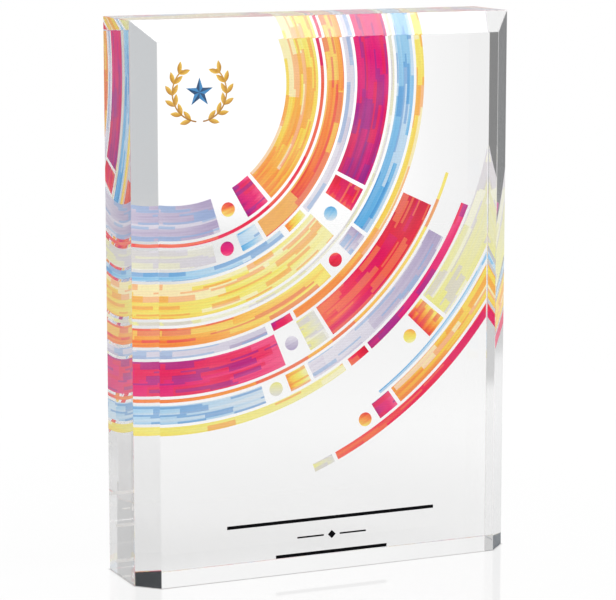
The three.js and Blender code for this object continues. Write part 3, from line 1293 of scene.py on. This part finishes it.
@dataclass
class FrontPrint(Print):
    """The front print: a star in a wreath, and two ruled lines with a divider. Sizes are in mm.

    Attributes:
        star_points: the star's points.
        star_radius: its radius.
        star_waist: the radius between its points.
        wreath_radius: the radius of the branches' stems.
        stem_width: a stem's width.
        stem_foot_deg: where the right stem starts, from the viewer's right.
        stem_head_deg: where it ends.
        leaf_pairs: the pairs of leaves on a branch.
        leaf_length: a leaf's length.
        leaf_width: its width.
        leaf_lean_deg: how far it leans out from the stem.
        rule_width: a ruled line's width.
        upper_rule: the upper line's length and height.
        lower_rule: the lower line's length and height.
        divider_height: the divider's height.
        divider_rule: the length and width of its two short lines.
        lozenge: the width and height of its lozenge.
        lozenge_gap: the space on each side of that.
        side_margin: the space between the wreath and the side bevel.
        top_margin: the space between the wreath and the top bevel.
        plain_shade: the place along an ink's colours of a plain field.
    """

    star_points: int = 5
    star_radius: float = 5.0
    star_waist: float = 1.95
    wreath_radius: float = 9.6
    stem_width: float = 0.5
    stem_foot_deg: float = -83.0
    stem_head_deg: float = 52.0
    leaf_pairs: int = 6
    leaf_length: float = 4.2
    leaf_width: float = 1.6
    leaf_lean_deg: float = 32.0
    rule_width: float = 1.2
    upper_rule: Span = (78.0, 18.5)
    lower_rule: Span = (42.0, 6.5)
    divider_height: float = 12.5
    divider_rule: Span = (10.0, 0.6)
    lozenge: Span = (3.0, 3.0)
    lozenge_gap: float = 1.5
    side_margin: float = 3.0
    top_margin: float = 5.0
    plain_shade: float = 0.5

    def __post_init__(self) -> None:
        """Places the emblem, which keeps its margins to the block's bevels."""
        reach = self.wreath_radius + self.leaf_length * math.sin(math.radians(self.leaf_lean_deg))
        across = -self.block.width / 2 + self.block.bevel + self.side_margin + reach
        self.centre = (across, self.block.height - self.block.bevel - self.top_margin - reach)

    def add_field(self, node: str, points: list[Span], ink: InkFinish, fan: bool = False) -> None:
        """Prints a field from its outline.

        Args:
            node: the name of the solid that it stands for.
            points: the outline, in mm, anticlockwise as the viewer sees it.
            ink: its ink.
            fan: whether its near side is a fan around its middle, light and dark by turns.
        """
        near, far = self.front_depth, self.front_depth + self.layer
        mesh = bpy.data.meshes.new(node)
        with edited(mesh) as work:
            shade = work.faces.layers.float.new(ALONG)
            front = [work.verts.new((x * MM, near, z * MM)) for x, z in points]
            back = [work.verts.new((x * MM, far, z * MM)) for x, z in points]
            count = len(points)
            if fan:
                total = Vector((sum(x for x, _ in points), 0.0, sum(z for _, z in points)))
                middle = total * (MM / count)
                hub = work.verts.new((middle.x, near, middle.z))
                for i in range(count):
                    work.faces.new((hub, front[i], front[(i + 1) % count]))[shade] = float(i % 2)
            else:
                work.faces.new(front)[shade] = self.plain_shade
            work.faces.new(back[::-1])[shade] = self.plain_shade
            for i in range(count):
                j = (i + 1) % count
                work.faces.new((front[i], back[i], back[j], front[j]))[shade] = self.plain_shade
        mesh.materials.append(self.materials[ink.name])
        self.piece(node, mesh, ink)

    def add_star(self) -> None:
        """Prints the emblem's star."""
        points = []
        for i in range(2 * self.star_points):
            radius = self.star_radius if i % 2 == 0 else self.star_waist
            angle = math.pi / 2 + i * math.pi / self.star_points
            across = self.centre[0] + radius * math.cos(angle)
            points.append((across, self.centre[1] + radius * math.sin(angle)))
        self.add_field("emblem_star", points, NAVY, fan=True)

    def add_wreath(self) -> None:
        """Prints the two branches around the star."""
        sizes = {
            "Radius": self.wreath_radius * MM,
            "Stem Width": self.stem_width * MM,
            "Foot": math.radians(self.stem_foot_deg),
            "Head": math.radians(self.stem_head_deg),
            "Leaf Length": self.leaf_length * MM,
            "Leaf Width": self.leaf_width * MM,
            "Lean": math.radians(self.leaf_lean_deg),
            "Pairs": self.leaf_pairs,
        }
        for node, side in (("emblem_branch_right", 1.0), ("emblem_branch_left", -1.0)):
            self.piece(node, self.grow(node, self.trees.branch, GOLD, sizes | {"Side": side}), GOLD)

    def add_rule(self, node: str, x: float, z: float, size: Span) -> None:
        """Prints a straight line.

        Args:
            node: the name of the solid that it stands for.
            x: its middle across.
            z: its middle's height.
            size: its length and width.
        """
        a, b = size[0] / 2, size[1] / 2
        self.add_field(node, [(x - a, z - b), (x + a, z - b), (x + a, z + b), (x - a, z + b)], BLACK)

    def build(self) -> None:
        """Prints the emblem, the ruled lines and the divider."""
        middle = self.middle(0.0)
        for ink, centre in ((NAVY, middle), (GOLD, middle), (BLACK, Vector(ORIGIN))):
            self.materials[ink.name] = ink.material(centre)
        self.add_star()
        self.add_wreath()
        for node, (length, height) in (
            ("inscription_rule_upper", self.upper_rule),
            ("inscription_rule_lower", self.lower_rule),
        ):
            self.add_rule(node, 0.0, height, (length, self.rule_width))
        a, b = self.lozenge[0] / 2, self.lozenge[1] / 2
        z = self.divider_height
        self.add_field("divider_lozenge", [(0.0, z - b), (a, z), (0.0, z + b), (-a, z)], BLACK, fan=True)
        offset = a + self.lozenge_gap + self.divider_rule[0] / 2
        self.add_rule("divider_rule_left", -offset, z, self.divider_rule)
        self.add_rule("divider_rule_right", offset, z, self.divider_rule)


@dataclass
class View:
    """The camera, fitted to the block's corners.

    Attributes:
        aim: the point that the fit is about, in mm.
        aim_px: where the picture shows it.
        yaw_deg: how far the camera looks to the right of straight back.
        pitch_deg: how far it looks down.
        distance: how far away it stands, in mm.
        focal_px: its focal length in pixels.
        sensor: its sensor's width, in mm.
        clip: the nearest and furthest that it sees, in metres.
    """

    aim: tuple[float, float, float]
    aim_px: Span = (332.08, 297.3)
    yaw_deg: float = 24.108
    pitch_deg: float = 9.462
    distance: float = 924.1
    focal_px: float = 2718.3
    sensor: float = 36.0
    clip: Span = (0.01, 50.0)

    def build(self) -> None:
        """Stands the camera and makes it the scene's own."""
        yaw, pitch = math.radians(self.yaw_deg), math.radians(self.pitch_deg)
        level = Vector((math.sin(yaw), math.cos(yaw), 0.0))
        right = Vector((math.cos(yaw), -math.sin(yaw), 0.0))
        forward = level * math.cos(pitch) + Vector((0.0, 0.0, -math.sin(pitch)))
        up = right.cross(forward)
        off_x = (self.aim_px[0] - IMAGE_SIZE[0] / 2) / self.focal_px * self.distance
        off_y = (self.aim_px[1] - IMAGE_SIZE[1] / 2) / self.focal_px * self.distance
        stand = Vector(self.aim) - forward * self.distance - right * off_x + up * off_y
        lens = bpy.data.cameras.new("camera")
        lens.sensor_width = self.sensor
        lens.lens = self.focal_px / IMAGE_SIZE[0] * lens.sensor_width
        lens.clip_start, lens.clip_end = self.clip
        made = add_object("camera", lens)
        turned = Matrix((right, up, -forward)).transposed().to_4x4()
        made.matrix_world = Matrix.Translation(stand * MM) @ turned
        bpy.context.scene.camera = made


@dataclass
class Table:
    """The white table, with lengths in metres. A span says where an effect starts and where it is full.

    Attributes:
        block: what stands on it.
        radius: its radius.
        steps: the points round its edge.
        drop: how far it lies under the block.
        near_level: its grey beside the block, darker than further out as painted shade near the block.
        far_level: its grey further out, over level_span.
        rim_shadow_level: its grey under the block's rim.
        rim_outer: how far outside the rim that grey, a painted contact shadow, comes in.
        rim_inner: how far inside the rim it ends.
        roughness: the roughness of its paint.
        specular: the gloss of its paint.
        bleach: how much of it the camera sees as plain white, and more over bleach_span.
        polish_index: the refractive index of its polish.
        polish_roughness: the roughness of that.
        far_fade: where it is lost in white.
        front_fade: where it is lost in white towards the viewer.
        corner_shade: a shade that only the acrylic shows, before the block's right corner.
        corner_front: where that comes in towards the viewer.
        corner_side: where it comes in towards the right.
        corner_reach: where it ends.
        behind_shade: a shade that only the acrylic shows, behind the block.
        behind_way: the direction in which that comes in, over behind_span.
    """

    block: Block
    radius: float = 1.15
    steps: int = 128
    drop: float = 0.00005
    near_level: float = 0.75
    far_level: float = 0.84
    level_span: Span = (0.08, 0.28)
    rim_shadow_level: float = 0.3
    rim_outer: Span = (0.0012, -0.0004)
    rim_inner: Span = (-0.005, -0.0015)
    roughness: float = 0.08
    specular: float = 0.018
    bleach: float = 0.88
    bleach_span: Span = (0.16, 0.4)
    polish_index: float = 1.16
    polish_roughness: float = 0.06
    far_fade: Span = (0.55, 1.1)
    front_fade: Span = (0.1, 0.3)
    corner_shade: float = 0.19
    corner_front: Span = (0.0, 0.012)
    corner_side: Span = (0.04, 0.065)
    corner_reach: Span = (0.25, 0.09)
    behind_shade: float = 0.32
    behind_way: Span = (-0.8, 0.6)
    behind_span: Span = (0.193, 0.233)

    def build(self) -> None:
        """Lays the table a hair under the block."""
        mesh = bpy.data.meshes.new("table")
        with edited(mesh) as work:
            bmesh.ops.create_circle(work, cap_ends=True, segments=self.steps, radius=self.radius)
            bmesh.ops.translate(work, verts=work.verts, vec=(0.0, 0.0, -self.drop))
        mesh.materials.append(self.material())
        add_object("table", mesh)

    def rim(self, w: NodeWriter, x: Socket, y: Socket, ahead: Socket) -> Socket:
        """Gives where the table lies under the block's rim, where it carries a painted contact shadow.

        Args:
            w: the writer of the table's tree.
            x: a point's place along X.
            y: its place along Y.
            ahead: how far it lies towards the viewer.

        Returns:
            1 under the rim and 0 away from it.
        """
        side, front = self.block.width / 2 * MM, self.block.depth / 2 * MM
        off_side = w.math("SUBTRACT", w.math("ABSOLUTE", x), side)
        off_front = w.math("SUBTRACT", ahead, front)
        off_back = w.math("SUBTRACT", y, front)
        off_corner = w.math("ADD", w.math("ADD", off_side, off_front), self.block.bevel * MM)
        off_bevel = w.math("MULTIPLY", off_corner, math.sqrt(0.5))
        off_sides = w.math("MAXIMUM", off_side, off_bevel)
        off_plan = w.math("MAXIMUM", off_sides, w.math("MAXIMUM", off_front, off_back))
        return w.product(w.between(off_plan, *self.rim_outer), w.between(off_plan, *self.rim_inner))

    def hidden_shade(self, w: NodeWriter, x: Socket, y: Socket, ahead: Socket, away: Socket) -> Socket:
        """Gives the shade that only the acrylic shows.

        Args:
            w: the writer of the table's tree.
            x: a point's place along X.
            y: its place along Y.
            ahead: how far it lies towards the viewer.
            away: how far it lies from the middle.

        Returns:
            The shade, from 0 to 1.
        """
        corner = w.product(
            w.between(ahead, *self.corner_front),
            w.between(x, *self.corner_side),
            w.between(away, *self.corner_reach),
            self.corner_shade,
        )
        slant = w.math("MULTIPLY_ADD", x, self.behind_way[0], w.math("MULTIPLY", y, self.behind_way[1]))
        behind = w.math("MULTIPLY", w.between(slant, *self.behind_span), self.behind_shade)
        return w.math("MAXIMUM", corner, behind)

    def material(self) -> Material:
        """A white table with a faint mirror image of the block and painted shade near and under it, lost in
        white far away.

        Returns:
            The material.
        """
        made, w = new_material("white_table")
        x, y, _ = w.axes(w.place())
        ahead = w.math("MULTIPLY", y, -1.0)
        away = w.length(w.point(X=x, Y=y))
        camera = w.node("ShaderNodeLightPath").outputs["Is Camera Ray"]
        rim = self.rim(w, x, y, ahead)
        open_table = w.math("SUBTRACT", 1.0, rim)
        unseen = w.math("SUBTRACT", 1.0, camera)
        shade = w.math("MULTIPLY", self.hidden_shade(w, x, y, ahead, away), unseen)
        # Painted shade: the table is a darker grey beside the block than further out
        plain = w.mix(w.between(away, *self.level_span), grey(self.near_level), grey(self.far_level))
        # Base colour: a painted contact shadow under the block's rim, and painted shade that only the acrylic
        # shows
        inputs = {
            "Base Color": w.mix(rim, w.mix(shade, plain, grey(0.0)), grey(self.rim_shadow_level)),
            "Roughness": self.roughness,
            "Specular IOR Level": self.specular,
        }
        paint = w.out("ShaderNodeBsdfPrincipled", inputs)
        white = w.out("ShaderNodeEmission", {"Color": WHITE})
        bleach = w.math("MAXIMUM", w.between(away, *self.bleach_span), self.bleach)
        pale = w.blend(w.product(bleach, open_table, camera), paint, white)
        grazing = w.out("ShaderNodeFresnel", {"IOR": self.polish_index})
        polish = w.out("ShaderNodeBsdfGlossy", {"Color": WHITE, "Roughness": self.polish_roughness})
        shiny = w.blend(w.product(grazing, open_table, camera), pale, polish)
        lost = w.math("MAXIMUM", w.between(away, *self.far_fade), w.between(ahead, *self.front_fade))
        faded = w.blend(lost, shiny, w.out("ShaderNodeBsdfTransparent"))
        w.node("ShaderNodeOutputMaterial", {"Surface": faded})
        return made


@dataclass
class Room:
    """The walls that the acrylic shows, the white that the camera sees and the light from all sides.

    A wall is a row of turns, in degrees to the right of straight back, with their grey levels. A height is
    a direction's share of straight up.

    Attributes:
        ambient: the level of the light from all sides.
        low_walls: the walls round the horizon.
        middle_walls: the walls a little above it, from middle_span.
        high_walls: the walls well above it, from high_span.
        top_span: the heights above which all is white.
        cool: how blue the dark parts of the low and middle walls are.
        high_cool: how blue those of the high walls are.
        cool_power: how dark a part has to be for that.
        cold_span: the turns between which the low walls are a little blue.
        cold_tint: how blue they are there.
        front_span: where the dark part of the room that mirrors show comes in.
        front_level: the grey of that.
        mirror_depth: the most bounces of a ray that the table mirrors.
        mirror_span: the heights over which such a ray sees white.
    """

    ambient: float = 1.06
    low_walls: Levels = (
        (-180.0, 0.9), (-110.0, 0.6), (-60.0, 0.6), (-40.0, 0.5), (-33.0, 0.25), (-23.0, 0.25), (-16.0, 0.5),
        (-11.5, 0.4), (-9.5, 0.15), (-5.5, 0.15), (-3.0, 0.8), (0.0, 0.88), (10.0, 1.2), (25.0, 1.2),
        (27.5, 0.97), (32.0, 0.92), (42.0, 0.66), (52.0, 0.602), (118.0, 0.66), (180.0, 0.9),
    )
    middle_walls: Levels = (
        (-180.0, 0.8), (-90.0, 0.6), (-33.0, 0.5), (-22.0, 0.4), (-12.0, 0.4), (-9.5, 0.15), (-5.5, 0.15),
        (-3.0, 0.6), (0.0, 0.7), (12.0, 0.72), (30.0, 0.68), (42.0, 0.35), (46.0, 0.2), (50.0, 0.2),
        (56.0, 0.4), (95.0, 0.45), (180.0, 0.8),
    )
    high_walls: Levels = (
        (-180.0, 0.8), (-60.0, 0.62), (-20.0, 0.66), (-12.0, 0.6), (-9.5, 0.05), (-5.5, 0.05), (-3.0, 0.8),
        (0.0, 0.85), (12.0, 1.0), (25.0, 1.0), (30.0, 0.92), (40.0, 0.3), (45.0, 0.006), (49.0, 0.006),
        (55.0, 0.35), (95.0, 0.45), (125.0, 0.61), (145.0, 0.5), (180.0, 0.8),
    )
    middle_span: Span = (0.0, 0.04)
    high_span: Span = (0.09, 0.14)
    top_span: Span = (0.5, 0.75)
    cool: float = 0.04
    high_cool: float = 0.9
    cool_power: int = 12
    cold_span: Span = (42.0, 52.0)
    cold_tint: float = 0.027
    front_span: Span = (-0.3, -0.7)
    front_level: float = 0.05
    mirror_depth: float = 2.5
    mirror_span: Span = (0.0, 0.02)

    def stops(self, levels: Levels, cool: float, cold: Span | None = None) -> Stops:
        """Gives a wall's colours round the room.

        Args:
            levels: the wall.
            cool: how blue its dark parts are.
            cold: the turns between which all of it is a little blue.

        Returns:
            Places from 0 to 1 with their colours.
        """
        found = []
        for degrees, level in levels:
            tint = cool * (1 - min(level, 1.0)) ** self.cool_power
            if cold and cold[0] <= degrees <= cold[1]:
                tint += self.cold_tint
            colour = (level * (1 - tint), level, level * (1 + tint), 1.0)
            found.append(((degrees + 180.0) / 360.0, colour))
        return tuple(found)

    def build(self) -> None:
        """Makes the world."""
        world = bpy.data.worlds.new("studio")
        bpy.context.scene.world = world
        world.use_nodes = True
        world.node_tree.nodes.clear()
        w = NodeWriter(world.node_tree)
        x, y, height = w.axes(w.node("ShaderNodeTexCoord").outputs["Generated"])
        turn = w.math("MULTIPLY_ADD", w.math("ARCTAN2", x, y), 1 / (2 * math.pi), 0.5)
        low = w.ramp(turn, self.stops(self.low_walls, self.cool, self.cold_span))
        middle = w.ramp(turn, self.stops(self.middle_walls, self.cool))
        high = w.ramp(turn, self.stops(self.high_walls, self.high_cool))
        lower = w.mix(w.between(height, *self.middle_span), low, middle)
        sides = w.mix(w.between(height, *self.high_span), lower, high)
        around = w.mix(w.between(height, *self.top_span), sides, WHITE)
        path = w.node("ShaderNodeLightPath").outputs
        mirrored = w.math("SUBTRACT", 1.0, path["Is Transmission Ray"])
        front = w.math("MULTIPLY", w.between(y, *self.front_span), mirrored)
        blurred = w.math("MULTIPLY", w.math("SUBTRACT", 1.0, path["Is Singular Ray"]), mirrored)
        first = w.math("LESS_THAN", path["Ray Depth"], self.mirror_depth)
        first_up = w.math("MULTIPLY", first, w.between(height, *self.mirror_span))
        dim = w.mix(front, around, grey(self.front_level))
        room = w.mix(w.math("MULTIPLY", blurred, first_up), dim, WHITE)
        seen = w.out("ShaderNodeBackground", {"Color": room})
        light = w.out("ShaderNodeBackground", {"Color": WHITE, "Strength": self.ambient})
        white = w.out("ShaderNodeBackground", {"Color": WHITE})
        clear = w.math("MAXIMUM", path["Is Glossy Ray"], path["Is Transmission Ray"])
        shown = w.blend(path["Is Camera Ray"], w.blend(clear, light, seen), white)
        w.node("ShaderNodeOutputWorld", {"Surface": shown})


@dataclass
class Studio:
    """The table, the room around it and a soft light over the block, with lengths in metres.

    Attributes:
        block: what stands on the table.
        lamp_size: the light's side.
        lamp_energy: its energy, in watts.
        lamp_place: where it hangs, towards the viewer's right.
        lamp_aim: the point that it shines at.
        most_bounces: the most bounces of a ray, and of one that passes straight through.
        clear_bounces: the most of them on gloss and in the acrylic.
    """

    block: Block
    lamp_size: float = 0.6
    lamp_energy: float = 4.5
    lamp_place: tuple[float, float, float] = (0.48, -0.2, 1.27)
    lamp_aim: tuple[float, float, float] = (0.0, 0.0, 0.15)
    most_bounces: int = 32
    clear_bounces: int = 24

    def build(self) -> None:
        """Sets the table, the room and the light."""
        Table(self.block).build()
        Room().build()
        self.hang_lamp()
        cycles = bpy.context.scene.cycles
        cycles.max_bounces = self.most_bounces
        cycles.glossy_bounces = self.clear_bounces
        cycles.transmission_bounces = self.clear_bounces
        cycles.transparent_max_bounces = self.most_bounces
        bpy.context.scene.view_settings.view_transform = "Standard"

    def hang_lamp(self) -> None:
        """Hangs the light."""
        lamp = bpy.data.lights.new("overhead", "AREA")
        lamp.shape = "SQUARE"
        lamp.size = self.lamp_size
        lamp.energy = self.lamp_energy
        place = Vector(self.lamp_place)
        turned = (place - Vector(self.lamp_aim)).to_track_quat("Z", "Y").to_matrix().to_4x4()
        add_object("overhead", lamp).matrix_world = Matrix.Translation(place) @ turned


def main() -> None:
    """Builds the plaque and its studio around the frame."""
    logging.basicConfig(level=logging.INFO, format="%(name)s: %(message)s")
    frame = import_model()
    low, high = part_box("acrylic_block")
    size = (high - low) / MM
    block = Block(size.x, size.y, size.z)
    block.build()
    trees = SheetTrees()
    backing = BackingFinish().material()
    front = FrontPrint(block, trees, backing, PrintFace.FRONT)
    rings = RingPrint(block, trees, backing, PrintFace.BACK, front.centre)
    rings.build()
    front.build()
    left = [name for name, node in frame["nodes"].items() if not node.hide_render]
    LOG.info("solids still shown: %s", left or "none")
    Studio(block).build()
    View(aim=(0.0, -size.y / 2, size.z / 2)).build()


if __name__ == "__main__":
    main()
